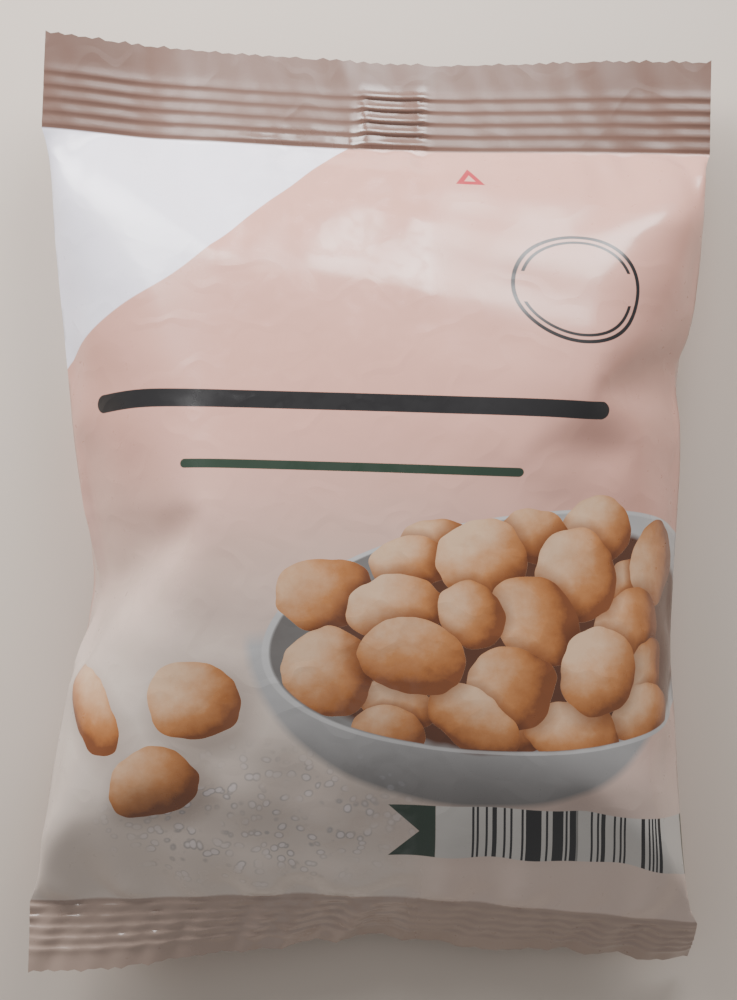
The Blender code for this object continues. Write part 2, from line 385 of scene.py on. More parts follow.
def bottom_droop(x):
    """The same for the bottom band: nearly level at its left end, and steep from its middle on."""
    tuck = BOTTOM_TUCK * smooth(-58, -6, x) + BOTTOM_TUCK_RIGHT * smooth(18, 56, x)
    return DROOP + tuck + 2.0 * seal_waves(x, 12)


def top_curl(x):
    """How much further down, in degrees, the band is turned at its knife-cut end."""
    return 0 * x


def bottom_curl(x):
    """The same for the bottom band: not at all at its left end."""
    return BOTTOM_CURL * smooth(-40, 0, x)


def top_strength(x, distance):
    """How high each rib stands: most over the fin, and on the lowest one beside it."""
    first = math.exp(-((distance / 2.4) ** 2))
    beside = first * np.exp(-(((x + 15) / 10) ** 2))
    return 0.62 + 1.25 * fin_cover(x) + beside + 0.15 * seal_waves(x, 13)


def bottom_strength(x, distance):
    """Ribs that are broken up into blocks, and nearly gone where the band curls under."""
    worn = np.exp(-(((x - 8) / 24) ** 2))
    rib = int((distance - RIB_START) / BOTTOM.pitch)
    blocks = 0.45 * waves(x, 40 + rib, (3.4, 8))
    return (1.15 - 0.7 * worn) * (1 + blocks)


# A crimped end: its length, the pitch of its ribs, the way it runs, how it droops and curls,
# how strong its ribs and wrinkles are, and the rows in its plain strip.
Band = namedtuple("Band", "length pitch way droop curl strength wrinkles strip_rows")
TOP = Band(TOP_BAND, 2.35, 1, top_droop, top_curl, top_strength, 0.10, 5)
BOTTOM = Band(BOTTOM_BAND, 1.95, -1, bottom_droop, bottom_curl, bottom_strength, 0.34, 3)
WRINKLES_FROM = 3        # from the seal line, where the wrinkles have their full height


def band_rows(end, seal, x):
    """The crimped rows outwards from a seal line, as (points, upward unit vectors, distance)."""
    steps = []
    for rib in range(RIBS):
        steps += [(RIB_START + (rib + phase) * end.pitch, rise) for phase, rise in RIB_STEPS]
    plain = np.linspace(RIB_START + RIBS * end.pitch, end.length, end.strip_rows + 1)
    steps += [(distance, 0.0) for distance in plain]
    place, last, rows = seal.copy(), 0.0, []
    for distance, rise in steps:
        angle = np.radians(end.droop(x) + end.curl(x) * distance / end.length)
        forward = np.stack([0 * x, end.way * np.cos(angle), -np.sin(angle)], 1)
        upward = np.stack([0 * x, end.way * np.sin(angle), np.cos(angle)], 1)
        place = place + forward * (distance - last)
        last = distance
        lift = RIB_RISE * rise * end.strength(x, distance)
        wrinkled = end.wrinkles * smooth(0, WRINKLES_FROM, distance)
        lift += wrinkled * waves(x + 0.4 * distance, 31, (5, 15))
        rows.append([place + upward * lift[:, None], upward, distance])
    number = np.round(x / CELL_WIDE).astype(int)
    nicks = np.random.default_rng(21).uniform(0.0, 1.3, 2 * number.max() + 3)
    tooth = np.where(number % 2 == 0, SCALLOP, 0.0) * nicks[number - number.min()]
    rows[-1][0] = rows[-1][0] + forward * tooth[:, None]
    return rows


def film_grid(front, back):
    """Every point of the film in rows and columns, and each one's place on the flat web."""
    columns = web_columns()
    surface, normal, gap, share = body_rows(front, back, columns)
    x = np.array([c[1] for c in columns])
    web = np.array([web_coordinate(c[0], c[1]) for c in columns])
    facing = np.array([1.0 if c[0] == "front" else -1.0 for c in columns])
    side = np.isclose(np.abs(x), HALF)
    offsets = layer_offsets(columns, gap)
    points = surface + normal * (offsets + surface_detail(columns, share, gap))[:, :, None]
    pressed = layer_offsets(columns, np.zeros((1, len(columns))))[0]
    under = facing < 0
    points[:, under, 2] = np.maximum(points[:, under, 2], LAYER / 2 - pressed[under])

    def pressed_row(place, upward):
        outward = upward * facing[:, None]
        outward[side] = np.stack([np.sign(x[side]), 0 * x[side], 0 * x[side]], 1)
        return place + outward * pressed[:, None]

    top = band_rows(TOP, surface[-1], x)
    low = band_rows(BOTTOM, surface[0], x)
    points[0] = pressed_row(surface[0], low[0][1])
    points[-1] = pressed_row(surface[-1], top[0][1])
    low_end = np.array([pressed_row(place, upward) for place, upward, _ in low[::-1]])
    top_end = np.array([pressed_row(place, upward) for place, upward, _ in top])
    along = [-row[2] for row in low[::-1]] + list(share * BODY) + [BODY + row[2] for row in top]
    return np.concatenate([low_end, points, top_end]), web, BOTTOM_BAND + np.array(along)


def build_film(front, back):
    """The film as one mesh, with its place on the flat web as its UV map."""
    grid, web, along = film_grid(front, back)
    rows, count, _ = grid.shape
    mesh = bpy.data.meshes.new("film")
    faces = []
    for row in range(rows - 1):
        for first in range(row * count, row * count + count - 1):
            faces.append((first, first + 1, first + count + 1, first + count))
    mesh.from_pydata((grid * MM).reshape(-1, 3), [], faces)
    uv = mesh.uv_layers.new(name="web")
    corners = np.empty(len(mesh.loops), np.int32)
    mesh.loops.foreach_get("vertex_index", corners)
    flat = np.stack(np.meshgrid(web, along), 2).reshape(-1, 2) * MM
    uv.data.foreach_set("uv", flat[corners].ravel())
    mesh.shade_smooth()
    film = bpy.data.objects.new("film", mesh)
    bpy.context.scene.collection.objects.link(film)
    return film


def thicken(film):
    """Gives the film its thickness, inwards, with crisp edges where it is cut or pressed flat."""
    wall = film.modifiers.new("wall", "SOLIDIFY")
    wall.thickness = WALL * MM
    wall.offset = -1.0
    depsgraph = bpy.context.evaluated_depsgraph_get()
    final = bpy.data.meshes.new_from_object(film.evaluated_get(depsgraph), depsgraph=depsgraph)
    film.modifiers.remove(wall)
    final.set_sharp_from_angle(angle=math.radians(CRISP_ANGLE))
    film.data = final


# ------------ placing it in the frame

# How the bag was set down: each long edge across, at shares of the body from the bottom seal.
LEFT_EDGE = (
    (0, -59.7), (0.07, -58.4), (0.20, -55.6), (0.40, -51.0), (0.66, -55.2), (0.88, -59.4),
    (1, -61.6),
)
RIGHT_EDGE = (
    (0, 59.9), (0.08, 57.8), (0.20, 54.8), (0.40, 52.8), (0.66, 54.4), (0.85, 56.6), (1, 58.0),
)
EDGE_KEEP = 0.3          # the share of the inflation's own uneven edge that stays
BOTTOM_SEAL = (-73.7, 3.4)   # where the seal line lies, and how far its middle is drawn in
TOP_SEAL = (64.0, -1.8)
STRETCH_UP = 1.10
CORNER_REACH = 11        # how far from the seals the corners are smoothed
CORNER_ROUNDS = 50
CORNER_PULL = 0.7        # how far each round takes a point towards its neighbours' middle
CALM = 0.45              # the share of the inflation's folds that is evened out
CALM_CELLS = 4
CALM_FROM_SEAL = 16      # where that share is reached


def from_nearest_seal(rows):
    """Each row's distance from the seal line that it is nearest to."""
    return np.minimum(np.arange(rows), rows - 1 - np.arange(rows)) * CELL


def even_corners(loop):
    """Smooths the film where the long edges run into the seals, with the seal lines held."""
    rows, around, _ = loop.shape
    quarter = around // 2 / 2
    from_middle = np.abs(np.abs(np.arange(around) - 2 * quarter) - quarter)
    near_edge = smooth(0.45, 0.8, from_middle / quarter)
    near_seal = np.exp(-((from_nearest_seal(rows) / CORNER_REACH) ** 2))
    mask = (near_edge[None] * near_seal[:, None])[:, :, None]
    mask[0] = mask[-1] = 0
    for _ in range(CORNER_ROUNDS):
        along = (np.roll(loop, 1, axis=0) + np.roll(loop, -1, axis=0)) / 2
        round_it = (np.roll(loop, 1, axis=1) + np.roll(loop, -1, axis=1)) / 2
        loop = loop + CORNER_PULL * mask * (0.7 * along + 0.3 * round_it - loop)
    return loop


def even(values, spread):
    """A row of values, smoothed over spread places."""
    reach = int(3 * spread)
    kernel = np.exp(-((np.arange(-reach, reach + 1) / spread) ** 2) / 2)
    line = np.pad(values, reach, mode="reflect", reflect_type="odd")
    return np.convolve(line, kernel / kernel.sum(), "valid")


def calm(loop):
    """Evens out the folds of the inflated body, in part, with its seal lines held."""
    rows, around, _ = loop.shape
    soft = loop.copy()
    margin = 3 * CALM_CELLS
    for axis in range(3):
        ring = np.pad(soft[..., axis], ((0, 0), (margin, margin)), mode="wrap")
        for row in range(rows):
            soft[row, :, axis] = even(ring[row], CALM_CELLS)[margin : margin + around]
        for column in range(around):
            soft[:, column, axis] = even(soft[:, column, axis], CALM_CELLS)
    inside = smooth(0, CALM_FROM_SEAL, from_nearest_seal(rows))[:, None, None]
    return loop + CALM * inside * (soft - loop)


def set_down(loop):
    """Brings the inflated bag to where it lies: its long edges, seal lines, floor and height."""
    rows = loop.shape[0]
    share = np.linspace(0, 1, rows)
    moves = []
    for points, side in ((LEFT_EDGE, -1), (RIGHT_EDGE, 1)):
        reach = side * (side * loop[..., 0]).max(1)
        aim = even(np.interp(share, *zip(*points)), 3)
        kept = EDGE_KEEP * (reach - even(reach, 9))
        near = 0.5 + 0.5 * np.clip(loop[..., 0] / reach[:, None], -1, 1)
        moves.append(near * (aim + kept - reach)[:, None])
    loop[..., 0] += sum(moves)
    for end, (aim, draw) in ((0, BOTTOM_SEAL), (rows - 1, TOP_SEAL)):
        line = loop[end]
        straight = aim + draw * np.cos(np.clip(line[:, 0] / HALF, -1, 1) * math.pi / 2) ** 1.5
        move = straight - line[:, 1]
        fade = (share if end else 1 - share)[:, None] ** 2
        loop[..., 1] += fade * move[None]
    loop[..., 2] = (loop[..., 2] - loop[..., 2].min()) * STRETCH_UP
    return loop


# ------------ shader maths


class Signal:
    """A node's output, on which Python's operators add Math nodes."""

    def __init__(self, paint, socket):
        self.paint = paint
        self.socket = socket

    def math(self, operation, *others, clamp=False):
        values = dict(enumerate((self, *others)))
        return self.paint.add("Math", {"operation": operation, "use_clamp": clamp}, values)

    def __add__(self, other):
        return self.math("ADD", other)

    def __sub__(self, other):
        return self.math("SUBTRACT", other)

    def __mul__(self, other):
        return self.math("MULTIPLY", other)

    def __truediv__(self, other):
        return self.math("DIVIDE", other)

    def __rsub__(self, other):
        return self.paint.add("Math", {"operation": "SUBTRACT"}, {0: other, 1: self})

    def __abs__(self):
        return self.math("ABSOLUTE")

    __radd__ = __add__
    __rmul__ = __mul__

    def most(self, other):
        return self.math("MAXIMUM", other)

    def over(self, level, soft=0.12):
        """1 where the value is over the level, 0 where it is under, and soft between."""
        return self.math("MULTIPLY_ADD", 1 / soft, 0.5 - level / soft, clamp=True)

    def under(self, level, soft=0.12):
        """The reverse of over()."""
        return self.math("MULTIPLY_ADD", -1 / soft, 0.5 + level / soft, clamp=True)

    def ease(self, low, high):
        """0 at low, 1 at high, and a smooth step between them."""
        settings = {"interpolation_type": "SMOOTHSTEP"}
        return self.paint.add("MapRange", settings, {0: self, 1: low, 2: high})


class Paint:
    """A material and its nodes. add() makes any node and gives one of its outputs."""

    def __init__(self, name):
        self.material = bpy.data.materials.new(name)
        self.material.use_nodes = True
        self.nodes = self.material.node_tree.nodes
        self.links = self.material.node_tree.links
        self.shader = self.nodes["Principled BSDF"]

    def add(self, kind, settings, sockets, output=0):
        node = self.nodes.new("ShaderNode" + kind)
        for name, value in settings.items():
            if name == "stops":
                self.set_stops(node.color_ramp, value)
            else:
                setattr(node, name, value)
        for place, value in sockets.items():
            self.put(node.inputs[place], value)
        return Signal(self, node.outputs[output])

    def set_stops(self, ramp, stops):
        while len(ramp.elements) < len(stops):
            ramp.elements.new(0.5)
        for element, (place, colour) in zip(ramp.elements, stops):
            element.position = place
            element.color = (*colour, 1)

    def put(self, socket, value):
        if isinstance(value, Signal):
            self.links.new(value.socket, socket)
        elif isinstance(value, tuple) and socket.type == "RGBA":
            socket.default_value = (*value, 1)
        else:
            socket.default_value = value

    def blend(self, share, below, above):
        """A colour, with another laid over it."""
        return self.add("Mix", {"data_type": "RGBA"}, {0: share, 6: below, 7: above}, 2)

    def multiply(self, share, below, above):
        settings = {"data_type": "RGBA", "blend_type": "MULTIPLY"}
        return self.add("Mix", settings, {0: share, 6: below, 7: above}, 2)

    def pick(self, share, first, second):
        """One vector or the other."""
        return self.add("Mix", {"data_type": "VECTOR"}, {0: share, 4: first, 5: second}, 1)

    def vector(self, operation, *values, output=0):
        return self.add("VectorMath", {"operation": operation}, dict(enumerate(values)), output)

    def split(self, vector):
        node = self.add("SeparateXYZ", {}, {0: vector}).socket.node
        return [Signal(self, socket) for socket in node.outputs]

    def noise(self, vector, size, detail=2.0, roughness=0.5, output=0):
        """Noise from 0 to 1, with lumps of about that size in the vector's own units."""
        sockets = {"Vector": vector, "Scale": 1 / size, "Detail": detail, "Roughness": roughness}
        return self.add("TexNoise", {}, sockets, output)

    def local(self, vector, centre, radii, turn=0.0, tag=0.0):
        """Coordinates in an oval's own frame, where its rim is at 1. The tag goes in the third."""
        place = {"Location": (*centre, -tag), "Rotation": (0, 0, math.radians(turn))}
        place["Scale"] = (*radii, 1)
        return self.add("Mapping", {"vector_type": "TEXTURE"}, {"Vector": vector, **place})

    def length(self, vector):
        return self.vector("LENGTH", vector, output=1)

    def oval(self, vector, centre, radii, turn=0.0, soft=0.12):
        """1 inside an oval."""
        rim = self.length(self.local(vector, centre, radii, turn))
        return rim.under(1, soft / min(radii))

    def bump(self, height, strength, distance):
        sockets = {"Height": height, "Strength": strength, "Distance": distance}
        return self.add("Bump", {}, sockets)


# ------------ the print

PINK = (0.60, 0.315, 0.25)
PALE = (0.61, 0.51, 0.445)
WHITE = (0.81, 0.775, 0.87)
LABEL = (0.48, 0.45, 0.42)
ROSE = (0.15, 0.082, 0.062)
ROSE_LOW = (0.38, 0.275, 0.225)
GREEN = (0.018, 0.036, 0.022)
INK = (0.012, 0.011, 0.012)
RED = (0.42, 0.035, 0.05)
CHINA = (0.42, 0.41, 0.41)
RIM = (0.56, 0.545, 0.54)
CHINA_SHADE = (0.13, 0.118, 0.112)
GAP = (0.085, 0.028, 0.012)
SALT_EDGE = (0.20, 0.20, 0.21)
# what a printed shadow leaves of a colour: below the bowl, a loose kernel and the heap's
BOWL_SHADOW = (0.45, 0.42, 0.42)
LOOSE_SHADOW = (0.45, 0.40, 0.38)
HEAP_SHADOW = (0.30, 0.17, 0.11)
ROASTED = (
    (0.0, (0.18, 0.055, 0.016)), (0.20, (0.34, 0.120, 0.032)), (0.42, (0.45, 0.182, 0.062)),
    (0.62, (0.56, 0.292, 0.146)), (0.88, (0.67, 0.440, 0.280)),
)

# Places on the flat film in millimetres: across from the middle, and up from the lower end.
BOTTOM_SEAM = 13.0       # where the rose ends begin
TOP_SEAM = 161.0
FRONT_HALF = 66.5        # how far the print runs round to the back
CORNER_TOP = ((-5.1, 160.7), 1.166)   # a place on the white corner's edge, and its slope there
CORNER_BEND = ((-33.0, 127.6), 0.52)
CORNER_END = -84         # where it ends, round at the back
WANDER = 3.6             # how far the pictured kernels' outlines stray from plain ovals

# Ovals: centre, radii and turn. The bowl is its rim and, below that, its body.
BOWL_RIM = ((27.6, 66.4), (44.8, 20.8), 8.3)
BOWL_BODY = ((16.5, 66.0), (36.0, 31.5), 0.0)
BOWL_LEAN = 0.14         # how far the rim climbs to the right
HEAP = ((27.0, 64.5), (37.0, 18.5), 9.0)
BOWL_FOOT_SHADOW = ((18, 35), (34, 9), 4)
SALT_FIELD = ((-17, 30), (22, 12), 4)
SALT_SIZE = 1.9

# The printed kernels, from the back of the bowl forwards: centre, radii and turn.
BOWL_KERNELS = (
    (10.0, 81.5, 5.5, 4.0, 10), (36.5, 84.5, 6.6, 6.2, 0), (25.5, 83.0, 6.4, 5.0, -10),
    (5.7, 77.3, 6.6, 4.8, 10), (42.5, 76.0, 4.5, 3.4, 20), (50.0, 79.0, 7.8, 6.6, 60),
    (17.3, 78.6, 7.3, 7.6, 0), (43.0, 68.4, 7.6, 6.2, 30), (32.8, 76.6, 7.2, 8.0, 10),
    (47.0, 61.5, 5.5, 4.4, 60), (-7.2, 71.7, 7.6, 6.6, 20), (3.9, 69.8, 8.4, 5.8, 8),
    (26.2, 68.6, 6.8, 8.6, 40), (15.6, 69.2, 5.4, 6.2, 20), (5.0, 52.2, 7.0, 4.2, -20),
    (24.0, 48.4, 5.0, 3.4, 0), (46.4, 54.0, 7.0, 5.0, 20), (33.4, 49.4, 8.6, 5.4, -6),
    (3.4, 47.8, 6.6, 4.6, -14), (36.6, 60.2, 7.2, 8.0, 0), (22.4, 56.8, 7.4, 7.6, 30),
    (17.0, 50.6, 8.6, 5.2, -38), (-6.4, 58.2, 7.6, 8.0, 10), (6.5, 61.2, 8.8, 7.0, -16),
)
LOOSE_KERNELS = (
    (-47.5, 50.4, 9.8, 4.8, -46), (-27.6, 52.2, 8.1, 7.2, 8), (-34.1, 37.6, 7.9, 6.6, 4),
)

STRIP_LEFT, STRIP_RIGHT = 11.4, 59.0
STRIP_LEVEL = 28.9       # the strip's middle at its left end
STRIP_CLIMB = 0.05       # for each millimetre to the right
STRIP_HALF = 5.4
FLAG_LEFT, FLAG_NOTCH = 3.8, 5.0
SIDE_FLAG = (58.4, 66.0)    # where the second flag and the lines start and end
LINES = (16.9, 50.2)
LINE_WIDTH = 0.36

BADGE = (30.6, 128.4, 0)
OUTER_RING = (10.4, 0.34)   # radius and half the line's width
INNER_RING = (9.2, 0.28)
RING_BREAK = 3.0         # half the height of the inner ring's breaks

MARK_TIP = (15.0, 155.6)
MARK_BASE = 151.4
MARK_SIDE = (0.868, 0.496)  # the outward direction of its right side
MARK_LINE = 0.85

# Two plain bars: middle, half length, height on the film, half thickness and colour.
BARS = ((-6.7, 43.0, 105.6, 1.6, INK), (-4.2, 27.0, 94.0, 0.8, GREEN))


def lay_kernels(paint, place, kernels):
    """Lays ovals over one another: the place in the top one, cover, and shade round it."""
    own = place
    cover = shade = 0.0
    for number, (x, y, wide, high, turn) in enumerate(kernels):
        tone = 0.32 * math.sin(number * 2.4)
        local = paint.local(place, (x, y), (wide, high), turn, tone)
        rim = paint.length(local)
        inside = rim.under(1, 0.004)
        halo = rim.under(1.14, 0.34)
        own = paint.pick(inside, own, local)
        shade = halo.most(shade) * (1 - inside)
        cover = inside.most(cover)
    return own, cover, shade


def kernel_colour(paint, own, place):
    """A roasted kernel's colour from the place in its own oval, lit from the upper left."""
    x, y, tone = paint.split(own)
    height = (1 - (x * x + y * y)).most(0.0).math("SQRT")
    lumps = paint.noise(place, 3.0, 4, 0.65) - 0.5
    light = x * -0.36 + y * 0.44 + height * 0.42 + lumps * 0.42 + tone * 0.30 + 0.13
    return paint.add("ValToRGB", {"stops": ROASTED}, {0: light})


def print_bowl(paint, ground, place, warped):
    """A bowl of kernels on the table, as printed."""
    x, y, _ = paint.split(place)
    body = paint.oval(place, *BOWL_BODY, soft=1.4)
    rim = paint.length(paint.local(place, *BOWL_RIM))
    inside = rim.under(1, 0.006)
    below_rim = (y - BOWL_LEAN * x).under(BOWL_RIM[0][1], 3)
    outside = paint.blend(y.ease(30, 62), CHINA_SHADE, CHINA)
    lining = paint.blend((x - y * 0.4).ease(-44, 20), CHINA_SHADE, CHINA)
    shadow = paint.oval(place, *BOWL_FOOT_SHADOW, soft=9)
    ground = paint.multiply(shadow * 0.45, ground, BOWL_SHADOW)
    ground = paint.blend((body * below_rim).most(inside), ground, outside)
    ground = paint.blend(rim.under(0.975, 0.006), ground, lining)
    ground = paint.blend(paint.oval(warped, *HEAP, soft=1.2), ground, GAP)
    edge = rim.over(0.972, 0.012) * inside
    ground = paint.blend(edge * 0.55, ground, RIM)
    own, cover, shade = lay_kernels(paint, warped, BOWL_KERNELS)
    heap = paint.multiply(shade * 0.65, kernel_colour(paint, own, place), HEAP_SHADOW)
    past_rim = (y - 0.10 * x).over(64, 3)
    in_front = rim.under(0.965, 0.008).most(past_rim)
    return paint.blend(cover * in_front, ground, heap)


def print_table(paint, ground, place, warped):
    """Three loose kernels and a scatter of salt below the bowl."""
    for x, y, wide, high, turn in LOOSE_KERNELS:
        shadow = paint.oval(place, (x + 1.5, y - 1.6), (wide * 1.1, high * 1.1), turn, soft=3.5)
        ground = paint.multiply(shadow * 0.5, ground, LOOSE_SHADOW)
    own, cover, _ = lay_kernels(paint, warped, LOOSE_KERNELS)
    ground = paint.blend(cover, ground, kernel_colour(paint, own, place))
    field = paint.oval(place, *SALT_FIELD, soft=8) * (1 - cover)
    field = field * paint.noise(place, 7, 2).over(0.47, 0.15)
    grains = paint.add("TexVoronoi", {"feature": "F1"}, {"Vector": warped, "Scale": 1 / SALT_SIZE})
    edge = grains.over(0.30, 0.1) * grains.under(0.42, 0.1)
    ground = paint.blend(field * edge * 0.55, ground, SALT_EDGE)
    return paint.blend(field * grains.under(0.30, 0.1) * 0.25, ground, WHITE)


def print_strip(paint, ground, x, y):
    """A pale strip of plain lines with a dark swallow-tailed flag at its left."""
    level = y - (x - STRIP_LEFT) * STRIP_CLIMB - STRIP_LEVEL
    high = abs(level).under(STRIP_HALF)
    ground = paint.blend(high * x.over(STRIP_LEFT) * x.under(STRIP_RIGHT), ground, LABEL)
    notch = FLAG_NOTCH * (1 - abs(level) / STRIP_HALF)
    flag = (x - FLAG_LEFT - notch).over(0) * x.under(STRIP_LEFT)
    ground = paint.blend(high * flag, ground, GREEN)
    ground = paint.blend(high * x.over(SIDE_FLAG[0]) * x.under(SIDE_FLAG[1]), ground, GREEN)
    line = (x / LINE_WIDTH).math("FLOOR")
    dark = paint.add("TexWhiteNoise", {"noise_dimensions": "1D"}, {"W": line}).over(0.5, 0.02)
    return paint.blend(dark * high * x.over(LINES[0]) * x.under(LINES[1]), ground, INK)


def print_badge(paint, ground, place, y):
    """Two rings round a bare middle, the inner one broken at its sides."""
    away = paint.length(paint.vector("SUBTRACT", place, BADGE))
    outer = abs(away - OUTER_RING[0]).under(OUTER_RING[1])
    inner = abs(away - INNER_RING[0]).under(INNER_RING[1])
    inner = inner * abs(y - BADGE[1]).over(RING_BREAK)
    return paint.blend(outer.most(inner), ground, INK)


def print_mark(paint, ground, x, y):
    """A small triangle that shows where to open the bag."""
    side, up = MARK_SIDE
    out = (abs(x - MARK_TIP[0]) * side + (y - MARK_TIP[1]) * up).most(MARK_BASE - y)
    return paint.blend(out.under(0) * out.over(-MARK_LINE), ground, RED)


def print_bars(paint, ground, x, y):
    """Two plain bars with round ends, dark and green, where a pack has its name."""
    for middle, half, level, thick, colour in BARS:
        side = (abs(x - middle) - (half - thick)).most(0.0)
        up = y - level
        away = (side * side + up * up).math("SQRT")
        ground = paint.blend(away.under(thick), ground, colour)
    return ground


def white_corner(x, y):
    """1 in the white upper left corner, whose edge runs down steeply and then levels out."""
    (start, top), steepness = CORNER_TOP
    (bend, level), slope = CORNER_BEND
    steep = (x - start) * steepness + top
    shallow = (x - bend) * slope + level
    edge = steep.math("SMOOTH_MAX", shallow, 5.0)
    return (y - edge).over(0, 0.25) * x.over(CORNER_END)


def table_share(x, y):
    """How much of the pale table shows: all of it at the lower left, and less to the right."""
    left = y.ease(105, 48) * x.ease(50, 0)
    return left.most(y.ease(78, 30) * 0.8)


def seal_gloss(paint, place, x, y):
    """Where the top seal is shiny: on the ribs over the fin, and on the lowest one beside it."""
    lowest = y.under(165, 2) * x.over(-25, 14) * x.under(FIN_END, 3)
    on_fin = abs(x - (FIN_ROOT + FIN_WIDTH / 2)).under(FIN_WIDTH / 2 + 0.5, 1)
    on_fin = on_fin * y.over(162, 2) * y.under(173.5, 2)
    return lowest.most(on_fin) * paint.noise(place, 3.5, 2).over(0.42, 0.2)


def printed_film():
    """Satin film with its print, from each point's place on the flat web."""
    paint = Paint("printed_film")
    web = paint.add("UVMap", {"uv_map": "web"}, {})
    place = paint.add("VectorMath", {"operation": "SCALE"}, {0: web, "Scale": 1 / MM})
    x, y, _ = paint.split(place)
    drift = paint.vector("SUBTRACT", paint.noise(place, 9, 2, output=1), (0.5, 0.5, 0.5))
    drift = paint.vector("MULTIPLY", drift, (WANDER, WANDER, 0))
    warped = paint.vector("ADD", place, drift)

    corner = white_corner(x, y)
    ground = paint.blend(table_share(x, y), PINK, PALE)
    ground = paint.blend(corner, ground, WHITE)
    ground = print_mark(paint, ground, x, y)
    ground = print_badge(paint, ground, place, y)
    ground = print_bars(paint, ground, x, y)
    ground = print_bowl(paint, ground, place, warped)
    ground = print_table(paint, ground, place, warped)
    ground = print_strip(paint, ground, x, y)
    front = abs(x).under(FRONT_HALF, 1)
    ground = paint.blend(front.most(corner), PINK, ground)
    ground = paint.blend(y.over(TOP_SEAM, 0.4), ground, ROSE)
    ground = paint.blend(y.under(BOTTOM_SEAM, 0.4), ground, ROSE_LOW)
    paint.put(paint.shader.inputs["Base Color"], ground)

    fine = paint.noise(place, 2.2, 4, 0.6)
    sealed = y.over(TOP_SEAM - 0.5, 1)
    gloss = seal_gloss(paint, place, x, y)
    rough = fine * 0.10 + sealed * 0.10 + 0.24 - gloss * 0.16
    paint.put(paint.shader.inputs["Roughness"], rough)
    paint.put(paint.shader.inputs["Coat Weight"], (0.40 - sealed * 0.30).most(gloss))
    paint.put(paint.shader.inputs["Coat Roughness"], 0.15)
    swells = paint.noise(place, 14, 2, 0.5)
    creases = (1 - abs(swells - 0.5) * 14).most(0.0)
    height = creases * 0.35 + swells + fine * 0.05
    paint.put(paint.shader.inputs["Normal"], paint.bump(height, 0.19, 0.0006))
    return paint.material


# ------------ the kernels inside

KERNEL_ROUNDS = 60
KERNEL_PUSH = 0.3        # the share of an overlap that each round takes away, on each side
KERNEL_CLEAR = 0.0005    # from a kernel to the film
KERNEL_LUMPS = 0.0011    # how far a kernel's surface wanders in and out
KERNEL_INPUTS = (("Lump size", 150.0), ("Lump height", KERNEL_LUMPS), ("Flattening", 0.93))

CREAM_TO_BROWN = ((0.3, (0.30, 0.13, 0.05)), (0.5, (0.50, 0.29, 0.14)), (0.7, (0.62, 0.45, 0.28)))
SALT = (0.85, 0.84, 0.82)


def room_at(tree, centre):
    """The largest radius that a kernel can have at a place, and the way to the nearest film."""
    near, normal, _, _ = tree.find_nearest(Vector(centre))
    away = (near - Vector(centre)).dot(normal)
    return away - KERNEL_CLEAR - KERNEL_LUMPS / 2, np.array(normal)


def kernels_within(film, names):
    """Centres and radii of the CAD kernels, moved a little so that each clears the film."""
    lows, highs = zip(*[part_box(name) for name in names])
    lows, highs = np.array(lows), np.array(highs)
    centres = (lows + highs) / 2
    radii = (highs - lows).mean(1) / 2
    mesh = film.data
    tree = BVHTree.FromPolygons([v.co for v in mesh.vertices], [p.vertices for p in mesh.polygons])
    for _ in range(KERNEL_ROUNDS):
        between = centres[:, None] - centres[None]
        away = np.linalg.norm(between, axis=2) + 1e-9
        short = radii[:, None] + radii[None] - away
        np.fill_diagonal(short, 0)
        centres += KERNEL_PUSH * (between * (np.clip(short, 0, None) / away)[:, :, None]).sum(1)
        for index, centre in enumerate(centres):
            room, outwards = room_at(tree, centre)
            if room < radii[index]:
                centres[index] -= outwards * (radii[index] - room)
    rooms = [room_at(tree, centre)[0] for centre in centres]
    return centres, np.minimum(radii, rooms)


